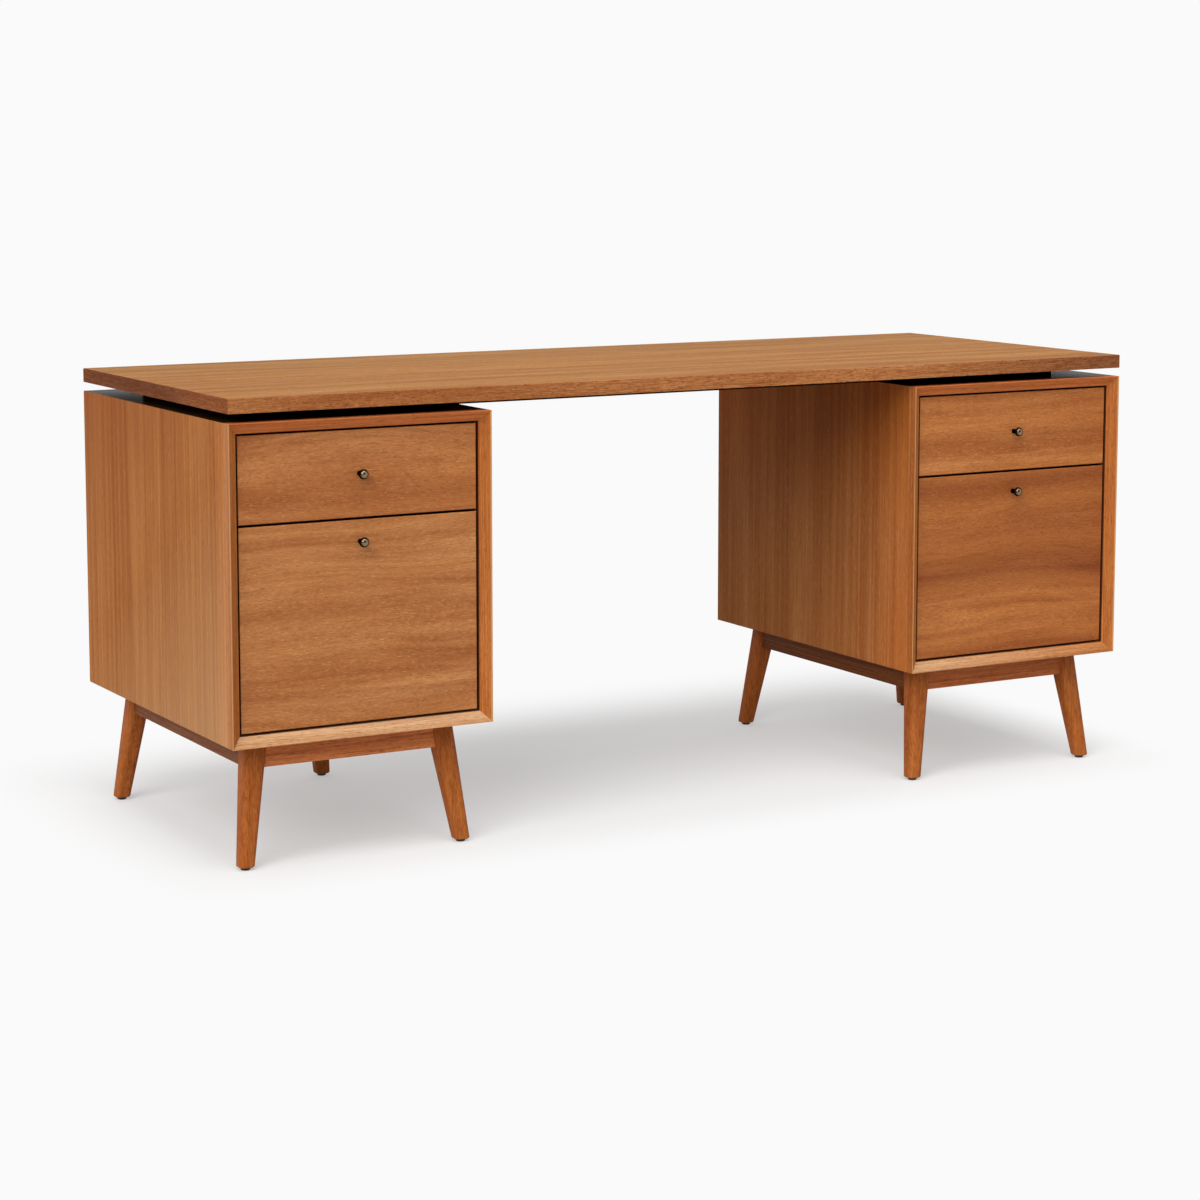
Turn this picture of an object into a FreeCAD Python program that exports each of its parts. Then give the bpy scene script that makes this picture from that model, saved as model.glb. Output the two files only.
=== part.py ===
# Executive desk: a floating top on two drawer pedestals that stand on splayed legs.
# Millimetres. +X runs along the desk, the drawers open towards -Y, and +Z is up.
# The origin lies on the floor under the middle of the whole desk, knobs included.
import FreeCAD, Part
import os
import Sketcher
from FreeCAD import Vector

doc = FreeCAD.newDocument("executive_desk")

# Driving dimensions, one cell each
sizes = {
    # whole desk
    "desk_width": 1766,
    "desk_depth": 660,
    "desk_height": 762,
    # floating top: a veneered panel, its solid wood lipping and the riser that lifts it
    "top_thickness": 24,
    "lipping_width": 8,
    "top_arris": 1.5,
    "riser_thickness": 15.5,
    "riser_end_inset": 64,
    "riser_front_inset": 120,
    # pedestal case: mitred panels behind a bevelled solid wood edging
    "pedestal_width": 460,
    "case_base": 206.5,
    "case_thickness": 18,
    "edging_depth": 22,
    "edging_arris": 1,
    "bevel_depth": 15,
    "back_thickness": 12,
    "back_recess": 2,
    # legs, measured at the top and at the foot
    "foot_side_inset": 37.5,
    "foot_end_inset": 48,
    "leg_side_splay": 27.5,
    "leg_end_splay": 28,
    "leg_top_side": 40,
    "leg_top_radius": 11,
    "leg_foot_side": 27,
    "leg_foot_radius": 9,
    "leg_foot_round": 2,
    # rails and corner blocks between the legs
    "rail_height": 46,
    "rail_thickness": 20,
    "rail_setback": 4,
    "block_near": 34,
    "block_far": 64,
    "block_height": 24,
    # levelling feet
    "pad_radius": 8,
    "pad_height": 4.5,
    "pad_chamfer": 1,
    "stem_radius": 3,
    "stem_length": 25,
    "stem_clearance": 0.3,
    # drawer fronts
    "upper_front_height": 141,
    "front_thickness": 18.5,
    "front_arris": 0.8,
    "front_gap": 4,
    "reveal": 3.2,
    "face_set": 1,
    # drawer boxes
    "box_rise": 16,
    "upper_box_drop": 29,
    "lower_box_drop": 53,
    "box_back_gap": 91.5,
    "box_wall": 12,
    "bottom_thickness": 6,
    "bottom_rise": 12,
    "groove_depth": 6,
    "bottom_clearance": 0.3,
    "file_bar_thickness": 3,
    "file_bar_height": 20,
    "file_bar_rise": 8,
    # knobs
    "knob_stem_radius": 4.2,
    "knob_stem_length": 7,
    "knob_head_radius": 8.3,
    "knob_rim": 15.5,
    "knob_length": 23,
    "lower_knob_drop": 35,
    # telescopic runners, three nested channels on each side of a drawer
    "runner_space": 12.7,
    "runner_set": 4,
    "runner_end_gap": 16,
    "runner_rise": 48,
    "runner_height": 45,
    "runner_gauge": 1.5,
    "race_height": 3,
    "slide_clearance": 0.3,
    "lip_gap": 1.2,
    # how far a cut runs past the stock
    "overrun": 5,
}

# Places and sizes that follow from the driving dimensions
derived = {
    # front and back of the desk, with the knobs' overhang shared between both ends of Y
    "knob_overhang": "max(size.knob_length - size.bevel_depth - size.face_set; 0)",
    "front": "(knob_overhang - size.desk_depth) / 2",
    "back": "front + size.desk_depth",
    "middle": "(front + back) / 2",
    # heights
    "top_base": "size.desk_height - size.top_thickness",
    "case_top": "top_base - size.riser_thickness",
    "case_height": "case_top - size.case_base",
    "case_middle": "(case_top + size.case_base) / 2",
    "cavity_base": "size.case_base + size.case_thickness",
    "cavity_top": "case_top - size.case_thickness",
    # case
    "pedestal_centre": "(size.desk_width - size.pedestal_width) / 2",
    "inner_width": "size.pedestal_width - 2 * size.case_thickness",
    "panel_depth": "size.desk_depth - size.edging_depth",
    "back_face": "back - size.back_recess - size.back_thickness",
    # legs and rails, from the middle of a pedestal
    "foot_across": "size.pedestal_width / 2 - size.foot_side_inset",
    "foot_along": "size.desk_depth / 2 - size.foot_end_inset",
    "leg_across": "foot_across - size.leg_side_splay",
    "leg_along": "foot_along - size.leg_end_splay",
    "rail_across": "leg_across + size.leg_top_side / 2 - size.rail_setback - size.rail_thickness",
    "rail_along": "leg_along + size.leg_top_side / 2 - size.rail_setback - size.rail_thickness",
    "rail_base": "size.case_base - size.rail_height",
    "bore_radius": "size.stem_radius + size.stem_clearance",
    # drawer fronts
    "face": "front + size.bevel_depth + size.face_set",
    "front_rear": "face + size.front_thickness",
    "front_width": "inner_width - 2 * size.reveal",
    "upper_front_height": "size.upper_front_height",
    "lower_front_height": "cavity_top - cavity_base - upper_front_height - size.front_gap - 2 * size.reveal",
    "lower_front_base": "cavity_base + size.reveal",
    "upper_front_base": "lower_front_base + lower_front_height + size.front_gap",
    "upper_knob_height": "upper_front_base + upper_front_height / 2",
    "lower_knob_height": "lower_front_base + lower_front_height - size.lower_knob_drop",
    # drawer boxes
    "box_width": "inner_width - 2 * size.runner_space",
    "box_inner_width": "box_width - 2 * size.box_wall",
    "box_length": "back_face - front_rear - size.box_back_gap",
    "box_inner_length": "box_length - 2 * size.box_wall",
    "upper_box_base": "upper_front_base + size.box_rise",
    "lower_box_base": "lower_front_base + size.box_rise",
    "upper_box_height": "upper_front_height - size.box_rise - size.upper_box_drop",
    "lower_box_height": "lower_front_height - size.box_rise - size.lower_box_drop",
    "groove_height": "size.bottom_thickness + size.bottom_clearance",
    "bottom_tongue": "size.groove_depth - size.bottom_clearance",
    # runners, in each member's own section
    "runner_front": "front_rear + size.runner_set",
    "runner_length": "box_length - size.runner_set - size.runner_end_gap",
    "outer_half": "size.runner_height / 2",
    "middle_half": "outer_half - size.race_height - size.slide_clearance",
    "inner_half": "middle_half - size.race_height - size.slide_clearance",
    "channel_lip": "size.runner_space - size.lip_gap",
    "middle_web": "size.runner_gauge + size.slide_clearance",
    "middle_floor": "middle_web + size.runner_gauge",
    "inner_lip": "middle_floor + size.lip_gap",
    "inner_floor": "size.runner_space - size.runner_gauge",
}


def fill_sheet(name, cells):
    sheet = doc.addObject("Spreadsheet::Sheet", name)
    for row, (alias, content) in enumerate(cells.items(), start=1):
        sheet.set(f"A{row}", alias)
        sheet.set(f"B{row}", content)
        sheet.setAlias(f"B{row}", alias)
    return sheet


fill_sheet("size", {alias: str(value) for alias, value in sizes.items()})
fill_sheet("place", {alias: "=" + formula for alias, formula in derived.items()})
doc.recompute()

# Finished sub-parts, each with a file of its own
pieces = []

# The two pedestals by the side of the desk they stand on, and the two drawers in each
pedestals = {"left": -1, "right": 1}
levels = ("upper", "lower")


def hand_in(piece, label):
    piece.Label = label
    pieces.append(piece)


def hand_in_group(members, label):
    bundle = doc.addObject("Part::Compound", label)
    bundle.Links = members
    hand_in(bundle, label)
    return bundle


def turn_to(inward, along):
    # the turn that takes a board's own Y inward and its own Z along
    return FreeCAD.Rotation(inward.cross(along), inward, along, "ZYX")


half_turn = FreeCAD.Rotation(Vector(0, 0, 1), 180)


def locate(piece, x, y, z, turn=FreeCAD.Rotation()):
    piece.Placement = FreeCAD.Placement(Vector(), turn)
    for axis, formula in zip("xyz", (x, y, z)):
        piece.setExpression(f"Placement.Base.{axis}", formula)


def board(name, length, width, height, x, y, z):
    # a plain rectangular board by its lowest corner
    piece = doc.addObject("Part::Box", name)
    piece.setExpression("Length", length)
    piece.setExpression("Width", width)
    piece.setExpression("Height", height)
    locate(piece, x, y, z)
    return piece


def sketch_on(body, role, name, x="0", y="0", z="0"):
    plane = next(feature for feature in body.Origin.OriginFeatures if feature.Role == role)
    sketch = body.newObject("Sketcher::SketchObject", f"{body.Name}_{name}")
    sketch.AttachmentSupport = [(plane, "")]
    sketch.MapMode = "FlatFace"
    for axis, formula in zip("xyz", (x, y, z)):
        if formula != "0":
            sketch.setExpression(f"AttachmentOffset.Base.{axis}", formula)
    return sketch


def bind_constraint(sketch, kind, *where_and_formula):
    # a dimension that follows its formula
    *where, formula = where_and_formula
    index = sketch.addConstraint(Sketcher.Constraint(kind, *where, sketch.evalExpression(formula)))
    sketch.setExpression(f"Constraints[{index}]", formula)


def pin_point(sketch, geometry, end, x, y):
    # hold one end of a line at its place, measured from the sketch's origin
    for axis, kind, formula in ((-2, "DistanceX", x), (-1, "DistanceY", y)):
        if formula == "0":
            sketch.addConstraint(Sketcher.Constraint("PointOnObject", geometry, end, axis))
        else:
            bind_constraint(sketch, kind, -1, 1, geometry, end, formula)


def draw_outline(sketch, corners):
    # a closed outline of straight lines through the given corners
    points = [Vector(sketch.evalExpression(x), sketch.evalExpression(y), 0) for x, y in corners]
    count = len(points)
    for index, point in enumerate(points):
        sketch.addGeometry(Part.LineSegment(point, points[(index + 1) % count]))
    for index, (x, y) in enumerate(corners):
        sketch.addConstraint(Sketcher.Constraint("Coincident", index, 2, (index + 1) % count, 1))
        pin_point(sketch, index, 1, x, y)


def draw_rounded_square(sketch, side, radius):
    # four sides and four corner arcs about the sketch's origin
    half = sketch.evalExpression(side) / 2
    corner = sketch.evalExpression(radius)
    flat = half - corner
    quarter = FreeCAD.Rotation(Vector(0, 0, 1), 90)
    start = Vector(-flat, -half, 0)
    end = Vector(flat, -half, 0)
    centre = Vector(flat, -flat, 0)
    for _ in range(4):
        sketch.addGeometry(Part.LineSegment(start, end))
        arrive = quarter.multVec(start)
        bulge = (end - centre + arrive - centre).normalize() * corner
        sketch.addGeometry(Part.Arc(end, centre + bulge, arrive))
        start, end, centre = (quarter.multVec(point) for point in (start, end, centre))
    for index in range(4):
        line = 2 * index
        arc = line + 1
        following = (line + 2) % 8
        sketch.addConstraint(Sketcher.Constraint("Tangent", line, 2, arc, 1))
        sketch.addConstraint(Sketcher.Constraint("Tangent", arc, 2, following, 1))
        bind_constraint(sketch, "Radius", arc, radius)
    bind_constraint(sketch, "DistanceY", -1, 1, 0, 1, f"-({side}) / 2")
    bind_constraint(sketch, "DistanceX", -1, 1, 2, 1, f"({side}) / 2")
    bind_constraint(sketch, "DistanceY", -1, 1, 4, 1, f"({side}) / 2")
    bind_constraint(sketch, "DistanceX", -1, 1, 6, 1, f"-({side}) / 2")
    for line, kind in ((0, "Horizontal"), (2, "Vertical"), (4, "Horizontal"), (6, "Vertical")):
        sketch.addConstraint(Sketcher.Constraint(kind, line))


def new_body(name):
    return doc.addObject("PartDesign::Body", name)


def pad(body, sketch, length, reverse=False):
    feature = body.newObject("PartDesign::Pad", f"{body.Name}_pad")
    feature.Profile = sketch
    feature.setExpression("Length", length)
    feature.Reversed = reverse
    return feature


def extrusion(name, role, corners, length, reverse=False):
    # a body with one outline, drawn out to a length
    body = new_body(name)
    sketch = sketch_on(body, role, "outline")
    draw_outline(sketch, corners)
    pad(body, sketch, length, reverse)
    return body


def revolve(body, sketch):
    feature = body.newObject("PartDesign::Revolution", f"{body.Name}_revolution")
    feature.Profile = sketch
    feature.ReferenceAxis = (sketch, ["V_Axis"])
    return feature


def mitred_board(name, length, width, depth):
    # a board whose ends are mitred across its width: X along, Y inward from the long face, Z deep
    return extrusion(name, "XY_Plane", [
        (f"-({length}) / 2", "0"),
        (f"({length}) / 2", "0"),
        (f"({length}) / 2 - {width}", width),
        (f"-({length}) / 2 + {width}", width),
    ], depth)


def chamfer_face(body, direction, setback):
    # break the edges round the face that looks in one direction
    doc.recompute()
    base = body.Tip
    names = [f"Face{index}" for index, face in enumerate(base.Shape.Faces, start=1)
             if face.normalAt(0, 0).isEqual(direction, 1e-6)]
    feature = body.newObject("PartDesign::Chamfer", f"{body.Name}_chamfer")
    feature.Base = (base, names)
    feature.setExpression("Size", setback)


def round_outer_edge(body, radius):
    # round the long top edge of a mitred board's outer face, which lies along its own X
    doc.recompute()
    base = body.Tip
    top = base.Shape.BoundBox.ZMax
    names = [f"Edge{index}" for index, edge in enumerate(base.Shape.Edges, start=1)
             if all(abs(vertex.Y) < 1e-6 and abs(vertex.Z - top) < 1e-6 for vertex in edge.Vertexes)]
    feature = body.newObject("PartDesign::Fillet", f"{body.Name}_fillet")
    feature.Base = (base, names)
    feature.setExpression("Radius", radius)


def bevel_strip(body, length):
    # plane the front of an edging strip from its outer arris down to its inner edge
    doc.recompute()
    before = body.Tip.Shape.Volume
    sketch = sketch_on(body, "YZ_Plane", "bevel")
    draw_outline(sketch, [
        ("size.edging_arris", "0"),
        ("size.case_thickness", "size.bevel_depth"),
        ("size.case_thickness + size.overrun", "size.bevel_depth"),
        ("size.case_thickness + size.overrun", "-size.overrun"),
        ("size.edging_arris", "-size.overrun"),
    ])
    cut = body.newObject("PartDesign::Pocket", f"{body.Name}_bevel_cut")
    cut.Profile = sketch
    cut.Midplane = True
    cut.setExpression("Length", f"{length} + size.overrun")
    doc.recompute()
    if cut.Shape.Volume >= before:
        raise RuntimeError(f"the bevel of {body.Name} cut nothing")


# Floating top
def make_top():
    hand_in(board(
        "desktop_panel",
        "size.desk_width - 2 * size.lipping_width",
        "size.desk_depth - 2 * size.lipping_width",
        "size.top_thickness",
        "size.lipping_width - size.desk_width / 2",
        "place.front + size.lipping_width",
        "place.top_base",
    ), "desktop_panel")
    strips = []
    for name, inward, length, x, y in (
        ("front", Vector(0, 1, 0), "size.desk_width", "0", "place.front"),
        ("back", Vector(0, -1, 0), "size.desk_width", "0", "place.back"),
        ("left", Vector(1, 0, 0), "size.desk_depth", "-size.desk_width / 2", "place.middle"),
        ("right", Vector(-1, 0, 0), "size.desk_depth", "size.desk_width / 2", "place.middle"),
    ):
        strip = mitred_board(f"desktop_{name}_lipping", length, "size.lipping_width", "size.top_thickness")
        round_outer_edge(strip, "size.top_arris")
        locate(strip, x, y, "place.top_base", turn_to(inward, Vector(0, 0, 1)))
        strips.append(strip)
    hand_in_group(strips, "desktop_edging")
    hand_in(board(
        "riser_panel",
        "size.desk_width - 2 * size.riser_end_inset",
        "size.desk_depth - 2 * size.riser_front_inset",
        "size.riser_thickness",
        "size.riser_end_inset - size.desk_width / 2",
        "place.front + size.riser_front_inset",
        "place.case_top",
    ), "riser_panel")


# Pedestal case: four mitred panels, a back and the bevelled edging
def make_case(side, hand):
    centre = f"{hand} * place.pedestal_centre"
    walls = {
        "outer_side": Vector(-hand, 0, 0),
        "inner_side": Vector(hand, 0, 0),
        "top": Vector(0, 0, -1),
        "bottom": Vector(0, 0, 1),
    }
    strips = []
    for wall, inward in walls.items():
        upright = inward.z == 0
        length = "place.case_height" if upright else "size.pedestal_width"
        x = f"{centre} - {inward.x} * size.pedestal_width / 2"
        z = f"place.case_middle - {inward.z} * place.case_height / 2"
        turn = turn_to(inward, Vector(0, 1, 0))
        panel = mitred_board(f"{side}_case_{wall}", length, "size.case_thickness", "place.panel_depth")
        locate(panel, x, "place.front + size.edging_depth", z, turn)
        hand_in(panel, f"{side}_case_{wall}")
        strip = mitred_board(f"{side}_{wall}_edging", length, "size.case_thickness", "size.edging_depth")
        bevel_strip(strip, length)
        locate(strip, x, "place.front", z, turn)
        strips.append(strip)
    hand_in_group(strips, f"{side}_case_edging")
    hand_in(board(
        f"{side}_case_back",
        "place.inner_width",
        "size.back_thickness",
        "place.cavity_top - place.cavity_base",
        f"{centre} - place.inner_width / 2",
        "place.back_face",
        "place.cavity_base",
    ), f"{side}_case_back")


# Legs, rails, corner blocks and levelling feet
def make_leg(name, x_hand, y_hand, x, y):
    # a rounded square that tapers and splays, with a worn-in round at the foot and a bore for the stem
    body = new_body(name)
    sections = []
    for level, rise, side, radius, splay in (
        ("foot", "size.pad_height", "size.leg_foot_side - 2 * size.leg_foot_round",
         "size.leg_foot_radius - size.leg_foot_round", 0),
        ("ankle", "size.pad_height + size.leg_foot_round", "size.leg_foot_side", "size.leg_foot_radius", 0),
        ("top", "size.case_base", "size.leg_top_side", "size.leg_top_radius", -1),
    ):
        section = sketch_on(body, "XY_Plane", level, f"{splay * x_hand} * size.leg_side_splay",
                            f"{splay * y_hand} * size.leg_end_splay", rise)
        draw_rounded_square(section, side, radius)
        sections.append(section)
    loft = body.newObject("PartDesign::AdditiveLoft", f"{name}_loft")
    loft.Profile = sections[0]
    loft.Sections = sections[1:]
    loft.Ruled = True
    doc.recompute()
    before = loft.Shape.Volume
    circle = sketch_on(body, "XY_Plane", "bore", z="size.pad_height")
    circle.addGeometry(Part.Circle(Vector(), Vector(0, 0, 1), circle.evalExpression("place.bore_radius")))
    circle.addConstraint(Sketcher.Constraint("Coincident", 0, 3, -1, 1))
    bind_constraint(circle, "Radius", 0, "place.bore_radius")
    bore = body.newObject("PartDesign::Pocket", f"{name}_bore_cut")
    bore.Profile = circle
    bore.Reversed = True
    bore.setExpression("Length", "size.stem_length + size.stem_clearance")
    locate(body, x, y, "0")
    doc.recompute()
    if bore.Shape.Volume >= before:
        raise RuntimeError(f"the bore of {name} cut nothing")
    return body


def make_foot(name, x, y):
    # a glide pad and the stem that screws into the leg
    body = new_body(name)
    sketch = sketch_on(body, "XZ_Plane", "section")
    draw_outline(sketch, [
        ("0", "0"),
        ("size.pad_radius - size.pad_chamfer", "0"),
        ("size.pad_radius", "size.pad_chamfer"),
        ("size.pad_radius", "size.pad_height"),
        ("size.stem_radius", "size.pad_height"),
        ("size.stem_radius", "size.pad_height + size.stem_length"),
        ("0", "size.pad_height + size.stem_length"),
    ])
    revolve(body, sketch)
    locate(body, x, y, "0")
    hand_in(body, name)


def make_rail(name, role, half_length, reverse):
    # a rail blank that runs from leg to leg, cut to the legs later
    return extrusion(name, role, [
        (f"-({half_length})", "0"),
        (half_length, "0"),
        (half_length, "size.rail_height"),
        (f"-({half_length})", "size.rail_height"),
    ], "size.rail_thickness", reverse)


def make_base(side, hand):
    centre = f"{hand} * place.pedestal_centre"
    legs = []
    blocks = []
    for end, y_hand in (("front", -1), ("back", 1)):
        for flank, x_hand in (("outer", hand), ("inner", -hand)):
            corner = f"{side}_{end}_{flank}"
            x = f"{centre} + {x_hand} * place.foot_across"
            y = f"place.middle + {y_hand} * place.foot_along"
            legs.append(make_leg(f"{corner}_leg", x_hand, y_hand, x, y))
            make_foot(f"{corner}_foot", x, y)
            block = extrusion(f"{corner}_block", "XY_Plane", [
                (f"{-x_hand} * size.block_near", "0"),
                (f"{-x_hand} * size.block_far", "0"),
                ("0", f"{-y_hand} * size.block_far"),
                ("0", f"{-y_hand} * size.block_near"),
            ], "size.block_height")
            locate(block, f"{centre} + {x_hand} * place.rail_across",
                   f"place.middle + {y_hand} * place.rail_along",
                   "size.case_base - size.block_height")
            blocks.append(block)
    leg_group = hand_in_group(legs, f"{side}_legs")
    blanks = []
    for end, y_hand in (("front", -1), ("back", 1)):
        rail = make_rail(f"{side}_{end}_rail", "XZ_Plane", "place.leg_across", y_hand > 0)
        locate(rail, centre, f"place.middle + {y_hand} * place.rail_along", "place.rail_base")
        blanks.append(rail)
    for flank, x_hand in (("outer", hand), ("inner", -hand)):
        rail = make_rail(f"{side}_{flank}_rail", "YZ_Plane", "place.leg_along", x_hand < 0)
        locate(rail, f"{centre} + {x_hand} * place.rail_across", "place.middle", "place.rail_base")
        blanks.append(rail)
    stock = doc.addObject("Part::Compound", f"{side}_rail_stock")
    stock.Links = blanks
    rails = doc.addObject("Part::Cut", f"{side}_base_rails")
    rails.Base = stock
    rails.Tool = leg_group
    hand_in(rails, f"{side}_base_rails")
    return blocks


# Drawers
def make_front(name, level, centre):
    body = extrusion(name, "XZ_Plane", [
        ("-place.front_width / 2", "0"),
        ("place.front_width / 2", "0"),
        ("place.front_width / 2", f"place.{level}_front_height"),
        ("-place.front_width / 2", f"place.{level}_front_height"),
    ], "size.front_thickness", reverse=True)
    chamfer_face(body, Vector(0, -1, 0), "size.front_arris")
    locate(body, centre, "place.face", f"place.{level}_front_base")
    hand_in(body, name)


def make_knob(name, level, centre):
    # a stem that flares into a domed head, turned about the sketch's upright axis
    body = new_body(name)
    sketch = sketch_on(body, "XY_Plane", "section")
    corners = [
        ("0", "size.knob_length"),
        ("0", "0"),
        ("size.knob_stem_radius", "0"),
        ("size.knob_stem_radius", "size.knob_stem_length"),
        ("size.knob_head_radius", "size.knob_rim"),
    ]
    points = [Vector(sketch.evalExpression(x), sketch.evalExpression(y), 0) for x, y in corners]
    for start, end in zip(points, points[1:]):
        sketch.addGeometry(Part.LineSegment(start, end))
    tip, rim = points[0], points[-1]
    rise = tip.y - rim.y
    radius = (rim.x ** 2 + rise ** 2) / (2 * rise)
    hub = Vector(0, tip.y - radius, 0)
    crown = hub + ((tip - hub) + (rim - hub)).normalize() * radius
    dome = sketch.addGeometry(Part.Arc(rim, crown, tip))
    last = dome - 1
    for index, (x, y) in enumerate(corners[:-1]):
        pin_point(sketch, index, 1, x, y)
    pin_point(sketch, last, 2, *corners[-1])
    for index in range(last):
        sketch.addConstraint(Sketcher.Constraint("Coincident", index, 2, index + 1, 1))
    sketch.addConstraint(Sketcher.Constraint("Coincident", last, 2, dome, 1))
    sketch.addConstraint(Sketcher.Constraint("Coincident", dome, 2, 0, 1))
    sketch.addConstraint(Sketcher.Constraint("PointOnObject", dome, 3, -2))
    revolve(body, sketch)
    locate(body, centre, "place.face", f"place.{level}_knob_height", half_turn)
    hand_in(body, name)


def grooved_wall(name, role, level, length, reverse):
    # a box wall with the groove for the bottom on its inner face, drawn out along its length
    return extrusion(name, role, [
        ("0", "0"),
        ("size.box_wall", "0"),
        ("size.box_wall", "size.bottom_rise"),
        ("size.box_wall - size.groove_depth", "size.bottom_rise"),
        ("size.box_wall - size.groove_depth", "size.bottom_rise + place.groove_height"),
        ("size.box_wall", "size.bottom_rise + place.groove_height"),
        ("size.box_wall", f"place.{level}_box_height"),
        ("0", f"place.{level}_box_height"),
    ], length, reverse)


def make_box(name, level, centre):
    base = f"place.{level}_box_base"
    left = f"{centre} - place.box_width / 2"
    right = f"{centre} + place.box_width / 2"
    rear = "place.front_rear + place.box_length"
    left_side = grooved_wall(f"{name}_left_side", "XZ_Plane", level, "place.box_length", True)
    locate(left_side, left, "place.front_rear", base)
    right_side = grooved_wall(f"{name}_right_side", "XZ_Plane", level, "place.box_length", True)
    locate(right_side, right, rear, base, half_turn)
    hand_in_group([left_side, right_side], f"{name}_sides")
    front_end = grooved_wall(f"{name}_front_end", "YZ_Plane", level, "place.box_inner_width", False)
    locate(front_end, f"{left} + size.box_wall", "place.front_rear", base)
    back_end = grooved_wall(f"{name}_back_end", "YZ_Plane", level, "place.box_inner_width", False)
    locate(back_end, f"{right} - size.box_wall", rear, base, half_turn)
    hand_in_group([front_end, back_end], f"{name}_ends")
    hand_in(board(
        f"{name}_bottom",
        "place.box_inner_width + 2 * place.bottom_tongue",
        "place.box_inner_length + 2 * place.bottom_tongue",
        "size.bottom_thickness",
        f"{left} + size.box_wall - place.bottom_tongue",
        "place.front_rear + size.box_wall - place.bottom_tongue",
        f"{base} + size.bottom_rise",
    ), f"{name}_bottom")


def make_file_bars(name, centre):
    # two bars along the tops of a deep drawer's sides, for hanging folders
    bars = []
    for flank, x in (
        ("left", f"{centre} - place.box_inner_width / 2"),
        ("right", f"{centre} + place.box_inner_width / 2 - size.file_bar_thickness"),
    ):
        bars.append(board(
            f"{name}_{flank}_file_bar",
            "size.file_bar_thickness",
            "place.box_inner_length",
            "size.file_bar_height",
            x,
            "place.front_rear + size.box_wall",
            "place.lower_box_base + place.lower_box_height + size.file_bar_rise - size.file_bar_height",
        ))
    hand_in_group(bars, f"{name}_file_bars")


# Telescopic runners
def make_channel_pair(name, level, centre, web, floor, lip, half):
    # one member on each side of a drawer: a channel whose flanges are its ball races
    pair = []
    for flank, x, y, turn in (
        ("left", f"{centre} - place.inner_width / 2", "place.runner_front", FreeCAD.Rotation()),
        ("right", f"{centre} + place.inner_width / 2", "place.runner_front + place.runner_length", half_turn),
    ):
        member = extrusion(f"{name}_{flank}", "XZ_Plane", [
            (web, f"-({half})"),
            (lip, f"-({half})"),
            (lip, f"size.race_height - {half}"),
            (floor, f"size.race_height - {half}"),
            (floor, f"{half} - size.race_height"),
            (lip, f"{half} - size.race_height"),
            (lip, half),
            (web, half),
        ], "place.runner_length", reverse=True)
        locate(member, x, y, f"place.{level}_box_base + size.runner_rise", turn)
        pair.append(member)
    return pair


def make_drawer(side, level, centre):
    name = f"{side}_{level}_drawer"
    make_front(f"{name}_front", level, centre)
    make_knob(f"{name}_knob", level, centre)
    make_box(name, level, centre)
    inner = make_channel_pair(f"{name}_inner_runner", level, centre, "size.runner_space",
                              "place.inner_floor", "place.inner_lip", "place.inner_half")
    hand_in_group(inner, f"{name}_inner_runners")
    middle = make_channel_pair(f"{name}_middle_runner", level, centre, "place.middle_web",
                               "place.middle_floor", "place.channel_lip", "place.middle_half")
    hand_in_group(middle, f"{name}_middle_runners")
    return make_channel_pair(f"{name}_outer_runner", level, centre, "0",
                             "size.runner_gauge", "place.channel_lip", "place.outer_half")


make_top()
corner_blocks = []
for side, hand in pedestals.items():
    pedestal_centre = f"{hand} * place.pedestal_centre"
    make_case(side, hand)
    corner_blocks += make_base(side, hand)
    outer_runners = []
    for level in levels:
        outer_runners += make_drawer(side, level, pedestal_centre)
    hand_in_group(outer_runners, f"{side}_outer_runners")
    make_file_bars(f"{side}_lower_drawer", pedestal_centre)
hand_in_group(corner_blocks, "corner_blocks")
doc.recompute()

# Nothing is written unless every object and every sub-part is sound
for item in doc.Objects:
    if "Invalid" in item.State or "Error" in item.State:
        raise RuntimeError(f"{item.Label} did not build: {item.State}")
for piece in pieces:
    if piece.Shape.isNull() or not piece.Shape.isValid():
        raise RuntimeError(f"{piece.Label} has no sound shape")

os.makedirs("parts", exist_ok=True)
for piece in pieces:
    piece.Shape.exportStep(f"parts/{piece.Label}.step")
    print(piece.Label, len(piece.Shape.Solids), "solids", round(piece.Shape.Volume), "mm3")
print(len(pieces), "sub-parts")
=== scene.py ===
import math
import bpy
from mathutils import Matrix, Vector


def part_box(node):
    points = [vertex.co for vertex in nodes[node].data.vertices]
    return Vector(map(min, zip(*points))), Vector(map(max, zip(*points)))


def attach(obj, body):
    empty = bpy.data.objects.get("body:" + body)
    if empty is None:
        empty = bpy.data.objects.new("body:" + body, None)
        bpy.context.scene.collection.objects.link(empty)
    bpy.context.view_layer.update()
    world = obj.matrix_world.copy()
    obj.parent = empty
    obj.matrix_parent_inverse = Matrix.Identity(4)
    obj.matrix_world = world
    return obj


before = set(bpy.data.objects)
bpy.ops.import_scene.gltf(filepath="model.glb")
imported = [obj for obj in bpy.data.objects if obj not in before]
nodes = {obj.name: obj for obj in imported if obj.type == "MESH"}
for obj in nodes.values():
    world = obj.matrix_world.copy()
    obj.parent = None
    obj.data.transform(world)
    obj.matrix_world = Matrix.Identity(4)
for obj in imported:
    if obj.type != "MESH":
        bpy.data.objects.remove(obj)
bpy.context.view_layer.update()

sides = ("left", "right")
levels = ("upper", "lower")
drawers = [f"{side}_{level}_drawer" for side in sides for level in levels]


def toLinear(code):
    # sRGB hex to the linear colour that Blender's sockets take
    channels = [int(code[i:i + 2], 16) / 255 for i in (1, 3, 5)]
    return [c / 12.92 if c <= 0.04045 else ((c + 0.055) / 1.055) ** 2.4 for c in channels] + [1]


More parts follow.
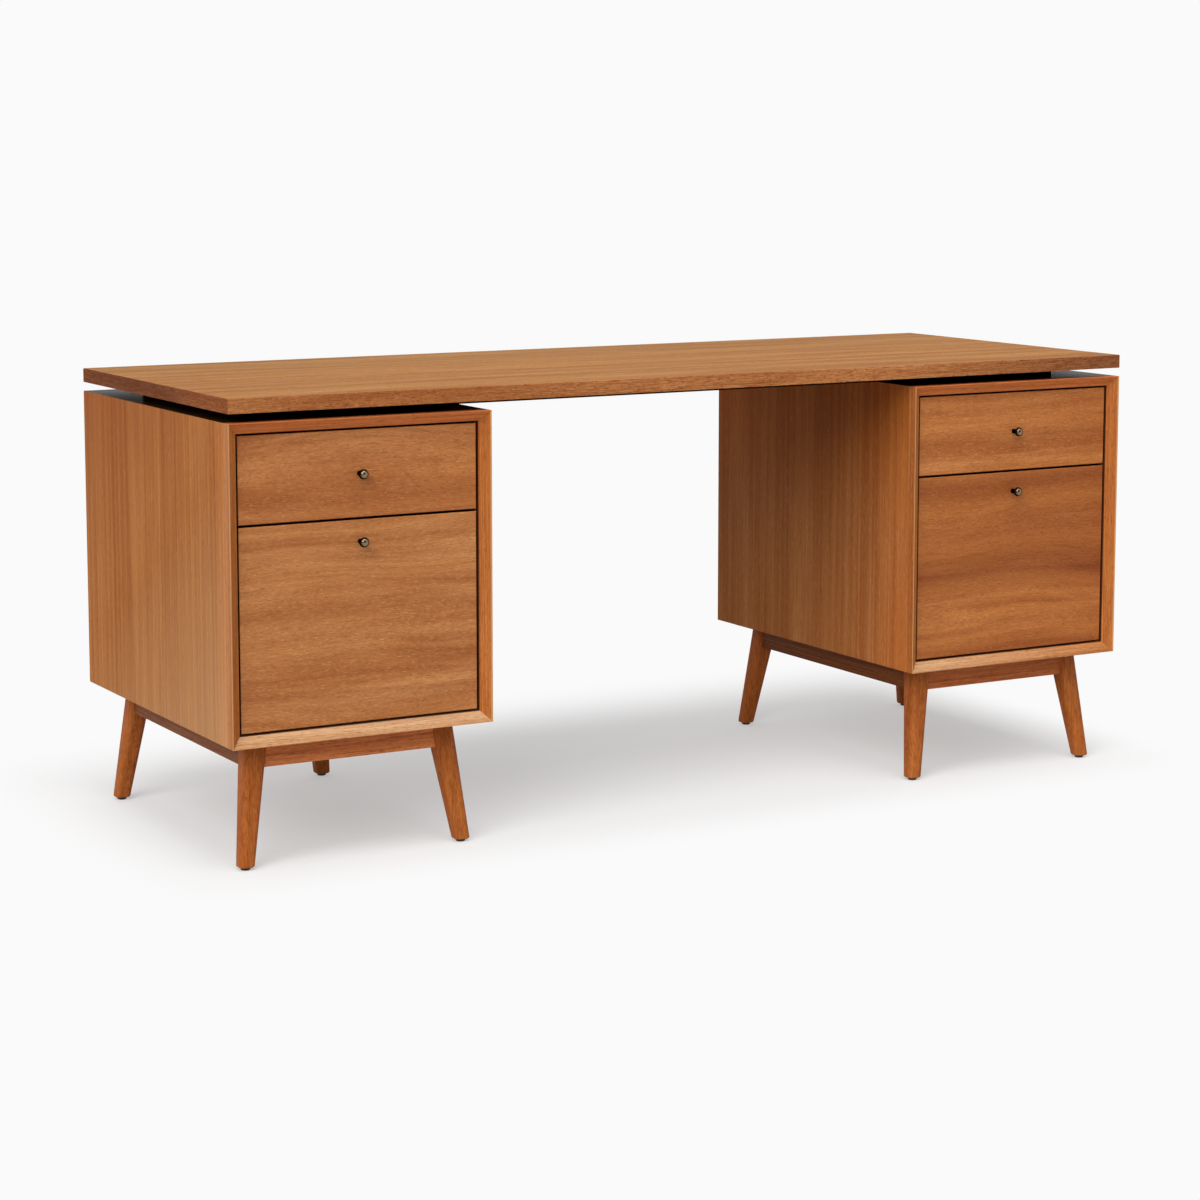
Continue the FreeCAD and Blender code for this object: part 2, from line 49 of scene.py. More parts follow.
def addNode(tree, kind, inputs=None, **settings):
    # one shader node with its settings, its fixed values and its links; a Mix node numbers its sockets:
    # 0 is the factor, 2 and 3 take floats, 4 and 5 vectors, 6 and 7 colours, and 0, 1 and 2 give them
    node = tree.nodes.new("ShaderNode" + kind)
    for name, value in settings.items():
        setattr(node, name, value)
    for socket, value in (inputs or {}).items():
        if isinstance(value, bpy.types.NodeSocket):
            tree.links.new(value, node.inputs[socket])
        else:
            node.inputs[socket].default_value = value
    return node


def newMaterial(name):
    # a material with its node tree and its main shader
    material = bpy.data.materials.new(name)
    material.use_nodes = True
    return material, material.node_tree, material.node_tree.nodes["Principled BSDF"]


def dress(material, *names):
    # put one material in every slot of the CAD nodes named
    for name in names:
        for slot in nodes[name].material_slots:
            slot.material = material


# Camera at the photograph's angle
cameraSettings = {
    "place": (-2.5799, -4.4879, 1.1816),
    "turn": 29.553,     # degrees from straight ahead towards the right
    "tilt": 6.984,      # degrees down
    "framePixels": 1200,
    "focalPixels": 2890.9,
    "shift": -0.1,
    "reach": 500,       # metres
}
cameraData = bpy.data.cameras.new("photoCamera")
cameraData.lens = cameraData.sensor_width * cameraSettings["focalPixels"] / cameraSettings["framePixels"]
cameraData.shift_y = cameraSettings["shift"]
cameraData.clip_end = cameraSettings["reach"]
camera = bpy.data.objects.new("photoCamera", cameraData)
camera.location = cameraSettings["place"]
camera.rotation_euler = (
    math.radians(90 - cameraSettings["tilt"]), 0, -math.radians(cameraSettings["turn"]))
bpy.context.scene.collection.objects.link(camera)
bpy.context.scene.camera = camera
print("camera: lens", round(cameraData.lens, 2), "mm")

# Where the pieces lie, read from the frame
topLow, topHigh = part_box("desktop_edging")
edgingLow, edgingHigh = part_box("right_case_edging")
railLow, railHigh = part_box("right_base_rails")
deskMiddle = (topLow.y + topHigh.y) / 2
pedestalCentre = (edgingLow.x + edgingHigh.x) / 2

# A face counts as square to an axis when its normal's part along that axis is above this
squareFace = 0.9

# Degrees that lay the fibres of a board along the pattern's own X
grainTurns = {"X": (0, 0, 0), "Y": (0, 0, -90), "Z": (0, 90, 0)}

# Strips that meet in mitres or corners: the fibres follow whichever edge of the frame is nearer
frames = {
    "desktop": {"fold": 0, "halfX": topHigh.x, "other": "Y", "middle": deskMiddle,
                "halfOther": (topHigh.y - topLow.y) / 2},
    "case": {"fold": pedestalCentre, "halfX": (edgingHigh.x - edgingLow.x) / 2, "other": "Z",
             "middle": (edgingLow.z + edgingHigh.z) / 2, "halfOther": (edgingHigh.z - edgingLow.z) / 2},
    "rails": {"fold": pedestalCentre, "halfX": (railHigh.x - railLow.x) / 2, "other": "Y",
              "middle": deskMiddle, "halfOther": (railHigh.y - railLow.y) / 2},
}


def axes(material, kind):
    # X, Y and Z of a point ("Object") or of the way its face looks ("Normal")
    tree = material.node_tree
    source = addNode(tree, "TexCoord").outputs[kind]
    return addNode(tree, "SeparateXYZ", {"Vector": source}).outputs


def boardVector(material, grain, shift):
    # Object coordinates in millimetres, turned so that the fibres run along X, and masks for framed strips
    tree = material.node_tree
    place = addNode(tree, "TexCoord").outputs["Object"]
    turned = {}
    for axis in ([grain] if grain in grainTurns else ["X", frames[grain]["other"]]):
        turned[axis] = addNode(tree, "Mapping", {
            "Vector": place, "Location": shift, "Scale": (1000, 1000, 1000),
            "Rotation": [math.radians(angle) for angle in grainTurns[axis]],
        }).outputs["Vector"]
    if grain in grainTurns:
        return turned[grain], {}
    strip = frames[grain]
    parts = axes(material, "Object")
    mirrored = addNode(tree, "Math", {0: parts["X"]}, operation="ABSOLUTE").outputs[0]
    fromFold = addNode(tree, "Math", {0: mirrored, 1: strip["fold"]}, operation="SUBTRACT").outputs[0]
    fromMiddle = addNode(tree, "Math", {0: parts[strip["other"]], 1: strip["middle"]},
                         operation="SUBTRACT").outputs[0]
    acrossX = addNode(tree, "Math", {0: fromFold}, operation="ABSOLUTE").outputs[0]
    acrossOther = addNode(tree, "Math", {0: fromMiddle}, operation="ABSOLUTE").outputs[0]
    toSide = addNode(tree, "Math", {0: strip["halfX"], 1: acrossX}, operation="SUBTRACT").outputs[0]
    toEnd = addNode(tree, "Math", {0: strip["halfOther"], 1: acrossOther}, operation="SUBTRACT").outputs[0]
    nearSide = addNode(tree, "Math", {0: toSide, 1: toEnd}, operation="LESS_THAN").outputs[0]
    if grain == "desktop":  # the veneer runs over the lipping, so faces that look up keep the panel's grain
        upward = axes(material, "Normal")["Z"]
        flat = addNode(tree, "Math", {0: upward, 1: squareFace}, operation="GREATER_THAN").outputs[0]
        nearSide = addNode(tree, "Math", {0: nearSide, 1: flat}, operation="SUBTRACT",
                           use_clamp=True).outputs[0]
    vector = addNode(tree, "Mix", {0: nearSide, 4: turned["X"], 5: turned[strip["other"]]},
                     data_type="VECTOR").outputs[1]
    return vector, {"toSide": toSide, "toEnd": toEnd, "fromMiddle": fromMiddle, "fromFold": fromFold,
                    "nearSide": nearSide}


def fade(material, axis, start, end):
    # a mask that grows from 0 to 1 between two places on an axis of the frame, in metres
    place = axes(material, "Object")[axis]
    return addNode(material.node_tree, "MapRange", {
        "Value": place, "From Min": start, "From Max": end}).outputs["Result"]


def stainAndPaintLight(material, mask, code, depth=1, blend="MULTIPLY"):
    # change the wood's colour where the mask is 1, for its own colour and for painted light and shade:
    # MULTIPLY deepens it and DIVIDE lightens it, both with the grain kept; MIX covers the grain
    tree = material.node_tree
    base = tree.nodes["Principled BSDF"].inputs["Base Color"]
    amount = addNode(tree, "Math", {0: mask, 1: depth}, operation="MULTIPLY").outputs[0]
    mixed = addNode(tree, "Mix", {0: amount, 6: base.links[0].from_socket, 7: toLinear(code)},
                    data_type="RGBA", blend_type=blend)
    tree.links.new(mixed.outputs[2], base)


# What all woods share: the character of the noises, how far the lacquer's roughness strays, and the depth of
# the pores in metres
grainSettings = {
    "sweepDetail": 1.5, "sweepRoughness": 0.45, "sweepLow": 0.25, "sweepHigh": 0.75,
    "layerRoughness": 0.55, "smoother": 0.04, "rougher": 0.05, "poreDepth": 0.0002,
}


def woodMaterial(name, wood, grain, shift=(0, 0, 0)):
    # growth bands that sweep along the board, thin dark streaks, pale flecks, fibres and short open pores;
    # shift says where in the pattern the board is cut, in mm
    material, tree, shader = newMaterial(name)
    board, edges = boardVector(material, grain, shift)
    length, width = wood["sweepLength"], wood["sweepWidth"]
    sweepPlace = addNode(tree, "VectorMath", {
        0: board, 1: (1 / length, 1 / width, 1 / width)}, operation="MULTIPLY")
    sweepNoise = addNode(tree, "TexNoise", {
        "Vector": sweepPlace.outputs[0], "Scale": 1, "Detail": grainSettings["sweepDetail"],
        "Roughness": grainSettings["sweepRoughness"]})
    sweep = addNode(tree, "MapRange", {
        "Value": sweepNoise.outputs["Fac"],
        "From Min": grainSettings["sweepLow"], "From Max": grainSettings["sweepHigh"],
        "To Min": -wood["sweep"], "To Max": wood["sweep"]}, clamp=False).outputs["Result"]
    sideways = addNode(tree, "CombineXYZ", {"Y": sweep, "Z": sweep}).outputs["Vector"]
    grown = addNode(tree, "VectorMath", {0: board, 1: sideways}, operation="ADD").outputs[0]

    layers = {}
    for layer, (length, width, detail, low, high) in wood["layers"].items():
        stretched = addNode(tree, "VectorMath", {
            0: grown, 1: (1 / length, 1 / width, 1 / width)}, operation="MULTIPLY")
        noise = addNode(tree, "TexNoise", {
            "Vector": stretched.outputs[0], "Scale": 1, "Detail": detail,
            "Roughness": grainSettings["layerRoughness"]})
        layers[layer] = addNode(tree, "MapRange", {
            "Value": noise.outputs["Fac"], "From Min": low, "From Max": high,
            "To Min": 0, "To Max": wood["weights"][layer]}).outputs["Result"]

    tone = wood.get("tone", (1, 1, 1)) + (1,)
    shades = {part: [c * t for c, t in zip(toLinear(wood[part]), tone)]
              for part in ("body", "light", "clouds", "streaks", "flecks", "fibres", "pores")}
    colour = addNode(tree, "Mix", {
        0: layers["bands"], 6: shades["body"], 7: shades["light"]}, data_type="RGBA").outputs[2]
    for layer in ("clouds", "streaks", "flecks", "fibres", "pores"):
        colour = addNode(tree, "Mix", {
            0: layers[layer], 6: colour, 7: shades[layer]}, data_type="RGBA").outputs[2]
    tree.links.new(colour, shader.inputs["Base Color"])

    # a leaf's figure: soft bands that follow the sweep, at a height and with a half width in mm
    rise = addNode(tree, "SeparateXYZ", {"Vector": grown}).outputs["Z"]
    for height, half, code, blend in wood.get("figure", ()):
        offset = addNode(tree, "Math", {0: rise, 1: height + shift[2]}, operation="SUBTRACT").outputs[0]
        distance = addNode(tree, "Math", {0: offset}, operation="ABSOLUTE").outputs[0]
        band = addNode(tree, "MapRange", {"Value": distance, "From Min": half, "From Max": 0},
                       interpolation_type="SMOOTHSTEP").outputs["Result"]
        streaky = addNode(tree, "Math", {0: band, 1: layers["bands"]}, operation="MULTIPLY").outputs[0]
        stainAndPaintLight(material, streaky, code, 1, blend)

    roughness = addNode(tree, "MapRange", {
        "Value": layers["fibres"], "From Min": 0, "From Max": wood["weights"]["fibres"],
        "To Min": wood["roughness"] - grainSettings["smoother"],
        "To Max": wood["roughness"] + grainSettings["rougher"]})
    tree.links.new(roughness.outputs["Result"], shader.inputs["Roughness"])
    hollow = addNode(tree, "Math", {0: layers["fibres"], 1: layers["pores"]}, operation="ADD").outputs[0]
    relief = addNode(tree, "Bump", {
        "Height": hollow, "Strength": wood["relief"], "Distance": grainSettings["poreDepth"]}, invert=True)
    tree.links.new(relief.outputs["Normal"], shader.inputs["Normal"])
    shader.inputs["Specular IOR Level"].default_value = wood["gloss"]
    return material, edges


# Mahogany veneer under satin lacquer: long soft bands, brown streaks, pale flecks and short dark pores.
# Layers: length and width in mm, noise detail, and the part of the noise that shows.
# A leaf's "tone" scales the red, green and blue of all its colours.
# Real pores are 0.3 mm wide; they are drawn at about 1.3 mm, so that they show from the camera.
mahoganyVeneer = {
    "body": "#A35F2E", "light": "#C58247", "clouds": "#D4955C", "streaks": "#814720",
    "flecks": "#D9A068", "fibres": "#8F5025", "pores": "#633317",
    "sweepLength": 600, "sweepWidth": 200, "sweep": 34,
    "layers": {
        "bands": (1200, 26, 6, 0.34, 0.66),
        "clouds": (360, 44, 2, 0.44, 0.74),
        "streaks": (600, 4, 3, 0.54, 0.74),
        "flecks": (9, 1.5, 1, 0.54, 0.74),
        "fibres": (26, 1.4, 2, 0.4, 0.68),
        "pores": (7, 1.3, 1, 0.54, 0.74),
    },
    "weights": {"bands": 1, "clouds": 0.45, "streaks": 0.35, "flecks": 0.45, "fibres": 0.4, "pores": 0.42},
    "roughness": 0.55, "relief": 0.25, "gloss": 0.2,
}
# The right pedestal's fronts come from a redder leaf of the same veneer
redderVeneer = dict(mahoganyVeneer, body="#9E5625", light="#BE753B", clouds="#CD864D", streaks="#7D3F19",
                    flecks="#D2925A", fibres="#8A471E", pores="#602D12")
# On the desktop the same veneer lies calmer, and its lacquer is rubbed down to a duller sheen
topVeneer = dict(mahoganyVeneer, body="#955E2A", light="#B98346", clouds="#C79455", streaks="#7C491E",
                 sweep=14, roughness=0.7, gloss=0.08, tone=(1.015, 1.02, 1.06))
topVeneer["weights"] = {
    "bands": 1, "clouds": 0.45, "streaks": 0.55, "flecks": 0.4, "fibres": 0.5, "pores": 0.5}
# Quarter-cut veneer on the cases: straight fine upright stripes, hardly any sweep
stripedVeneer = dict(mahoganyVeneer, body="#965520", light="#C1803F", clouds="#CC8E50", sweep=4,
                     sweepLength=900, roughness=0.65, gloss=0.08, tone=(1.1, 1.14, 1.21))
stripedVeneer["layers"] = {
    "bands": (2500, 12, 4, 0.34, 0.66),
    "clouds": (900, 60, 2, 0.44, 0.76),
    "streaks": (1400, 4, 3, 0.55, 0.72),
    "flecks": (16, 1.5, 1, 0.56, 0.76),
    "fibres": (90, 1.6, 2, 0.4, 0.68),
    "pores": (12, 1.3, 1, 0.56, 0.76),
}
stripedVeneer["weights"] = {
    "bands": 0.72, "clouds": 0.45, "streaks": 0.35, "flecks": 0.3, "fibres": 0.4, "pores": 0.4}
# Solid mahogany for edgings: as warm as the veneer, with straight grain
solidMahogany = dict(stripedVeneer, body="#AA5C21", light="#C47736", clouds="#CD8645", streaks="#834216",
                     flecks="#D6924F", fibres="#934C1B", pores="#5D2A0D", gloss=0.15, roughness=0.55,
                     tone=(1.02, 1.02, 1.06))
solidMahogany["weights"] = {
    "bands": 1, "clouds": 0.5, "streaks": 0.7, "flecks": 0.35, "fibres": 0.65, "pores": 0.6}
# Legs and rails come from redder stock
redMahogany = dict(solidMahogany, body="#9D511D", light="#B7682B", clouds="#C17437", streaks="#743712",
                   flecks="#C98248", fibres="#864116", pores="#4D230A", gloss=0.12)
# Lacquered beech in the drawer boxes: pale, even, with short brown flecks
paleBeech = dict(stripedVeneer, body="#CBA87C", light="#D8B98F", clouds="#DFC29B", streaks="#B98F62",
                 flecks="#E6CFA9", fibres="#C09A6C", pores="#94693F", tone=(1, 1, 1))
paleBeech["weights"] = {
    "bands": 1, "clouds": 0.4, "streaks": 0.3, "flecks": 0.2, "fibres": 0.3, "pores": 0.4}

# Painted shade: the desktop's leaf is darkened browner along the rear edge
rearShade = {"from": 0.02, "to": 0.33, "colour": "#6A5A38", "depth": 0.23}
desktop = woodMaterial("mahoganyVeneerTop", topVeneer, "X")[0]
rearPart = fade(desktop, "Y", rearShade["from"], rearShade["to"])
stainAndPaintLight(desktop, rearPart, rearShade["colour"], rearShade["depth"], "MIX")
dress(desktop, "desktop_panel")

# The riser, and the case tops' upper faces, are darkened near black, so that the desktop seems to float.
# A trace of gloss lets the case tops mirror some daylight at the two ends of the gap.
nearBlackTint = "#494D5E"
riserWood = dict(stripedVeneer, roughness=0.3, gloss=0.01)
riserShift = (0, 900, 300)
nearBlackWood = dict(riserWood, tone=(0.07, 0.08, 0.12))
dress(woodMaterial("mahoganyNearBlack", nearBlackWood, "X", riserShift)[0], "riser_panel")
caseTop = woodMaterial("mahoganyNearBlackTop", riserWood, "X", riserShift)[0]
upward = addNode(caseTop.node_tree, "Math", {
    0: axes(caseTop, "Normal")["Z"], 1: squareFace}, operation="GREATER_THAN").outputs[0]
stainAndPaintLight(caseTop, upward, nearBlackTint)
dress(caseTop, *[f"{side}_case_top" for side in sides])

# Outer sides: painted light lightens the leaf towards the front and the floor, most along the front margin,
# and painted shade deepens it at the upper rear; "slant" runs from 0 there to the sum of the two shares at
# the foot of the front edge
outerSides = {
    "frontShare": 0.5, "lowShare": 0.6,
    "pale": "#DAB386", "paleDepth": 0.36, "paleFrom": 0.55, "paleTo": 1.1,
    "deep": "#853A10", "deepDepth": 0.56, "deepFrom": 0.42, "deepTo": 0,
    "margin": "#EFF4F7", "marginFrom": -0.25, "marginTo": -0.3,
}
outerWood = dict(stripedVeneer, tone=(0.99, 0.955, 0.99))
outer = woodMaterial("mahoganyVeneerOuterSides", outerWood, "Z", (0, 40, 700))[0]
tree = outer.node_tree
place = axes(outer, "Object")
frontness = addNode(tree, "MapRange", {
    "Value": place["Y"], "From Min": topHigh.y, "From Max": topLow.y,
    "To Max": outerSides["frontShare"]}).outputs["Result"]
lowness = addNode(tree, "MapRange", {
    "Value": place["Z"], "From Min": edgingHigh.z, "From Max": edgingLow.z,
    "To Max": outerSides["lowShare"]}).outputs["Result"]
slant = addNode(tree, "Math", {0: frontness, 1: lowness}, operation="ADD").outputs[0]
# painted light ("pale") towards the front and the floor, painted shade ("deep") at the upper rear
for shade in ("pale", "deep"):
    end = addNode(tree, "MapRange", {
        "Value": slant, "From Min": outerSides[shade + "From"], "From Max": outerSides[shade + "To"]})
    stainAndPaintLight(outer, end.outputs["Result"], outerSides[shade], outerSides[shade + "Depth"], "MIX")
# painted light along the front margin
frontMargin = fade(outer, "Y", outerSides["marginFrom"], outerSides["marginTo"])
stainAndPaintLight(outer, frontMargin, outerSides["margin"], 1, "DIVIDE")
dress(outer, *[f"{side}_case_outer_side" for side in sides])

# Inner sides and backs: painted shade makes them redder towards the desktop; painted light lightens them low
# at the front and along the front margin, apart from the top of that margin in the desktop's shade
innerSides = {
    "high": "#FDE2A6", "highFrom": 0.45, "highTo": 0.68,
    "lit": "#E9EBE1", "litBefore": -0.1, "litBelow": 0.55,
    "margin": "#E9F0FF", "marginFrom": -0.19, "marginTo": -0.29, "shadeFrom": 0.66, "shadeTo": 0.5,
}
innerWood = dict(stripedVeneer, tone=(0.97, 0.945, 1.11))
innerWood["weights"] = dict(stripedVeneer["weights"], bands=0.55, streaks=0.25)
inner = woodMaterial("mahoganyVeneerUpright", innerWood, "Z", (0, 40, 700))[0]
lowFront = addNode(inner.node_tree, "Math", {
    0: fade(inner, "Y", innerSides["litBefore"], topLow.y),
    1: fade(inner, "Z", innerSides["litBelow"], edgingLow.z)}, operation="MULTIPLY").outputs[0]
# painted shade towards the desktop, then painted light low at the front
stainAndPaintLight(inner, fade(inner, "Z", innerSides["highFrom"], innerSides["highTo"]), innerSides["high"])
stainAndPaintLight(inner, lowFront, innerSides["lit"], 1, "DIVIDE")
# painted light along the front margin, kept out of the desktop's shade
frontMargin = addNode(inner.node_tree, "Math", {
    0: fade(inner, "Y", innerSides["marginFrom"], innerSides["marginTo"]),
    1: fade(inner, "Z", innerSides["shadeFrom"], innerSides["shadeTo"])}, operation="MULTIPLY").outputs[0]
stainAndPaintLight(inner, frontMargin, innerSides["margin"], 1, "DIVIDE")
dress(inner, *[f"{side}_case_{wall}" for side in sides for wall in ("inner_side", "back")])
dress(woodMaterial("mahoganyVeneerLevel", stripedVeneer, "X", (0, 520, 80))[0],
      *[f"{side}_case_bottom" for side in sides])

# Legs and rails: painted light on the front and back rails, painted shade on the side rails and towards the
# right
railLightAndShade = {"light": "#CDC49E", "dark": "#C4C6CC", "right": "#DDD4CB"}
dress(woodMaterial("solidMahoganyLegs", redMahogany, "Z", (60, 90, 30))[0],
      *[f"{side}_legs" for side in sides])
rails, strips = woodMaterial("solidMahoganyRails", redMahogany, "rails", (20, 130, 60))
endRail = addNode(rails.node_tree, "Math", {0: 1, 1: strips["nearSide"]}, operation="SUBTRACT").outputs[0]
stainAndPaintLight(rails, endRail, railLightAndShade["light"], 1, "DIVIDE")
stainAndPaintLight(rails, strips["nearSide"], railLightAndShade["dark"])
stainAndPaintLight(rails, fade(rails, "X", 0, topHigh.x), railLightAndShade["right"])
dress(rails, *[f"{side}_base_rails" for side in sides])

# Drawer boxes and corner blocks
dress(woodMaterial("beechAlong", paleBeech, "Y")[0],
      *[f"{drawer}_{piece}" for drawer in drawers for piece in ("sides", "bottom")])
dress(woodMaterial("beechAcross", paleBeech, "X", (0, 200, 40))[0], "corner_blocks",
      *[f"{drawer}_ends" for drawer in drawers])

# Desktop edging: veneered over on top, a little redder and darker on its outer faces, and painted shade at
# the ends, more towards the rear, and on the outer faces towards the right corner
topEdging = {
    "outer": "#FBE7F0", "ends": "#DACDC6",
    "rear": "#C9C2C0", "rearFrom": -0.22, "rearTo": -0.06,
    "corner": "#C5BECC", "cornerFrom": 0.42, "cornerTo": 0.88,
}
edgingWood = dict(topVeneer, body="#9A632E", light="#B57F42", clouds="#C39051", tone=(1.12, 1.19, 1.32))
edgingWood["weights"] = {
    "bands": 1, "clouds": 0.6, "streaks": 0.9, "flecks": 0.35, "fibres": 0.9, "pores": 0.8}
lipping, strips = woodMaterial("mahoganyTopEdging", edgingWood, "desktop")
tree = lipping.node_tree
outerFace = addNode(tree, "Math", {
    0: axes(lipping, "Normal")["Z"], 1: squareFace}, operation="LESS_THAN").outputs[0]
rearward = fade(lipping, "Y", topEdging["rearFrom"], topEdging["rearTo"])
rearEnd = addNode(tree, "Math", {0: rearward, 1: strips["nearSide"]}, operation="MULTIPLY").outputs[0]
rightward = fade(lipping, "X", topEdging["cornerFrom"], topEdging["cornerTo"])
rightCorner = addNode(tree, "Math", {0: rightward, 1: outerFace}, operation="MULTIPLY").outputs[0]
# painted shade: "ends", "rear" and "corner"
for zone, mask in {"outer": outerFace, "ends": strips["nearSide"], "rear": rearEnd,
                   "corner": rightCorner}.items():
    stainAndPaintLight(lipping, mask, topEdging[zone])
dress(lipping, "desktop_edging")

# Drawer fronts, each with a leaf of its own; the figure's bands are laid at their heights above the floor, in
# mm. Painted shade: the four narrow faces are darkened, so that the gaps round the fronts read as black
# lines.
gapShade = {"colour": "#34130A", "depth": 0.9, "edgeFace": 0.5}
# painted shade: the right pedestal's fronts darken and warm towards the right
rightFrontsShade = {"colour": "#F3E9DD", "from": 0.45, "to": 0.86}
frontLeaves = {
    "left_upper": dict(mahoganyVeneer, tone=(0.95, 0.88, 0.86), figure=(
        (676, 24, "#EFE6DA", "DIVIDE"), (606, 24, "#E6DACE", "MULTIPLY"))),
    "left_lower": dict(mahoganyVeneer, tone=(1.02, 1.04, 1.1), figure=(
        (470, 70, "#F6F1EC", "DIVIDE"), (400, 18, "#E0D0C6", "MULTIPLY"),
        (277, 10, "#D6C2B6", "MULTIPLY"))),
    "right_upper": dict(redderVeneer, sweep=22, tone=(1.12, 1.2, 1.24), figure=(
        (611, 18, "#C4A898", "MULTIPLY"), (581, 18, "#E8DACA", "DIVIDE"))),
    "right_lower": dict(redderVeneer, sweep=22, tone=(0.93, 0.9, 0.83), figure=(
        (534, 24, "#CDB6A8", "MULTIPLY"), (385, 60, "#D6C6BA", "MULTIPLY"),
        (372, 18, "#E2D2C8", "MULTIPLY"), (290, 60, "#E8DCD2", "DIVIDE"))),
}
for drawer, leaf in frontLeaves.items():
    fronts = woodMaterial(f"mahoganyVeneerFront.{drawer}", leaf, "X", (150, 400, 90))[0]
    tree = fronts.node_tree
    squareOn = addNode(tree, "Math", {0: axes(fronts, "Normal")["Y"]}, operation="ABSOLUTE").outputs[0]
    edgeOn = addNode(tree, "Math", {0: squareOn, 1: gapShade["edgeFace"]}, operation="LESS_THAN").outputs[0]
    stainAndPaintLight(fronts, fade(fronts, "X", rightFrontsShade["from"], rightFrontsShade["to"]), rightFrontsShade["colour"])
    # painted shade on the narrow faces, for the gaps round the front
    stainAndPaintLight(fronts, edgeOn, gapShade["colour"], gapShade["depth"], "MIX")
    dress(fronts, f"{drawer}_drawer_front")

# Case edging: painted light lightens the bottom strips, which painted shade warms and darkens at the right,
# and the top ones; painted light lightens the outer flanks like the sides' front edge, a painted highlight
# runs along the arris, and painted shade darkens the narrow land behind the bevel
caseEdging = {
    "bottomLight": "#ECB97C", "bottomRight": "#EBCBA6", "rightFrom": 0.45, "rightTo": 0.85,
    "topLight": "#E1EBD6", "flank": "#D9AA74", "flankDepth": 0.16,
    "arris": "#E2B27C", "arrisDepth": 0.45, "arrisWidth": 0.0012, "land": 0.0174,
}
edging, strips = woodMaterial("solidMahoganyCaseEdging", solidMahogany, "case", (70, 610, 240))
tree = edging.node_tree
lowHalf = addNode(tree, "Math", {0: strips["fromMiddle"], 1: 0}, operation="LESS_THAN").outputs[0]
bottomStrip = addNode(tree, "Math", {0: lowHalf, 1: strips["nearSide"]}, operation="SUBTRACT",
                      use_clamp=True).outputs[0]
bottomRight = addNode(tree, "Math", {
    0: bottomStrip, 1: fade(edging, "X", caseEdging["rightFrom"], caseEdging["rightTo"])},
    operation="MULTIPLY").outputs[0]
upright = addNode(tree, "Math", {0: lowHalf, 1: strips["nearSide"]}, operation="MAXIMUM").outputs[0]
topStrip = addNode(tree, "Math", {0: 1, 1: upright}, operation="SUBTRACT").outputs[0]
sideways = addNode(tree, "Math", {0: axes(edging, "Normal")["X"]}, operation="ABSOLUTE").outputs[0]
flank = addNode(tree, "Math", {0: sideways, 1: squareFace}, operation="GREATER_THAN").outputs[0]
outerHalf = addNode(tree, "Math", {0: strips["fromFold"], 1: 0}, operation="GREATER_THAN").outputs[0]
outerFlank = addNode(tree, "Math", {0: flank, 1: outerHalf}, operation="MULTIPLY").outputs[0]
arrisEnd = edgingLow.y + caseEdging["arrisWidth"]
atArris = addNode(tree, "Math", {
    0: axes(edging, "Object")["Y"], 1: arrisEnd}, operation="LESS_THAN").outputs[0]
arris = addNode(tree, "Math", {0: atArris, 1: strips["nearSide"]}, operation="MULTIPLY").outputs[0]
toEdge = addNode(tree, "Math", {0: strips["toSide"], 1: strips["toEnd"]}, operation="MINIMUM").outputs[0]
land = addNode(tree, "Math", {0: toEdge, 1: caseEdging["land"]}, operation="GREATER_THAN").outputs[0]
# painted light on the strips and outer flanks, a painted highlight on the arris, painted shade on the land
stainAndPaintLight(edging, bottomStrip, caseEdging["bottomLight"], 1, "DIVIDE")
stainAndPaintLight(edging, bottomRight, caseEdging["bottomRight"])
stainAndPaintLight(edging, topStrip, caseEdging["topLight"], 1, "DIVIDE")
stainAndPaintLight(edging, outerFlank, caseEdging["flank"], caseEdging["flankDepth"], "MIX")
stainAndPaintLight(edging, arris, caseEdging["arris"], caseEdging["arrisDepth"], "MIX")
stainAndPaintLight(edging, land, gapShade["colour"], gapShade["depth"], "MIX")
dress(edging, *[f"{side}_case_edging" for side in sides])
print("wood: dressed")

# Antique bronze: near-black patina on the stem and the rim, rubbed to a pale polish where a hand takes hold;
# the dark rim is also a painted dark reflection
bronzeSettings = {
    "patina": "#2A211A", "polish": "#8A775D", "outline": "#4A4036",
    "rimFacing": -0.52, "crownFacing": -0.86,    # Y of the normal where the rub starts and where it is full
    "speckle": 0.004, "speckleLow": 0.3, "speckleHigh": 0.6, "leastRub": 0.75,
    "dull": 0.22, "bright": 0.07,
}
bronze, tree, shader = newMaterial("antiqueBronze")
place = addNode(tree, "TexCoord").outputs["Object"]
patina = addNode(tree, "TexNoise", {
    "Vector": place, "Scale": 1 / bronzeSettings["speckle"], "Detail": 3, "Roughness": 0.6})
# the near-black rim is partly patina and partly a painted dark reflection
crown = addNode(tree, "MapRange", {
    "Value": axes(bronze, "Normal")["Y"], "From Min": bronzeSettings["rimFacing"],
    "From Max": bronzeSettings["crownFacing"]}).outputs["Result"]
speckle = addNode(tree, "MapRange", {
    "Value": patina.outputs["Fac"], "From Min": bronzeSettings["speckleLow"],
    "From Max": bronzeSettings["speckleHigh"], "To Min": bronzeSettings["leastRub"]}).outputs["Result"]
rubbed = addNode(tree, "Math", {0: crown, 1: speckle}, operation="MULTIPLY").outputs[0]
tone = addNode(tree, "Mix", {
    0: rubbed, 6: toLinear(bronzeSettings["patina"]), 7: toLinear(bronzeSettings["polish"])},
    data_type="RGBA")
gloss = addNode(tree, "MapRange", {
    "Value": rubbed, "To Min": bronzeSettings["dull"], "To Max": bronzeSettings["bright"]})
tree.links.new(tone.outputs[2], shader.inputs["Base Color"])
tree.links.new(gloss.outputs["Result"], shader.inputs["Roughness"])
shader.inputs["Metallic"].default_value = 1
# the polish dulls towards the outline
shader.inputs["Specular Tint"].default_value = toLinear(bronzeSettings["outline"])
dress(bronze, *[f"{drawer}_knob" for drawer in drawers])

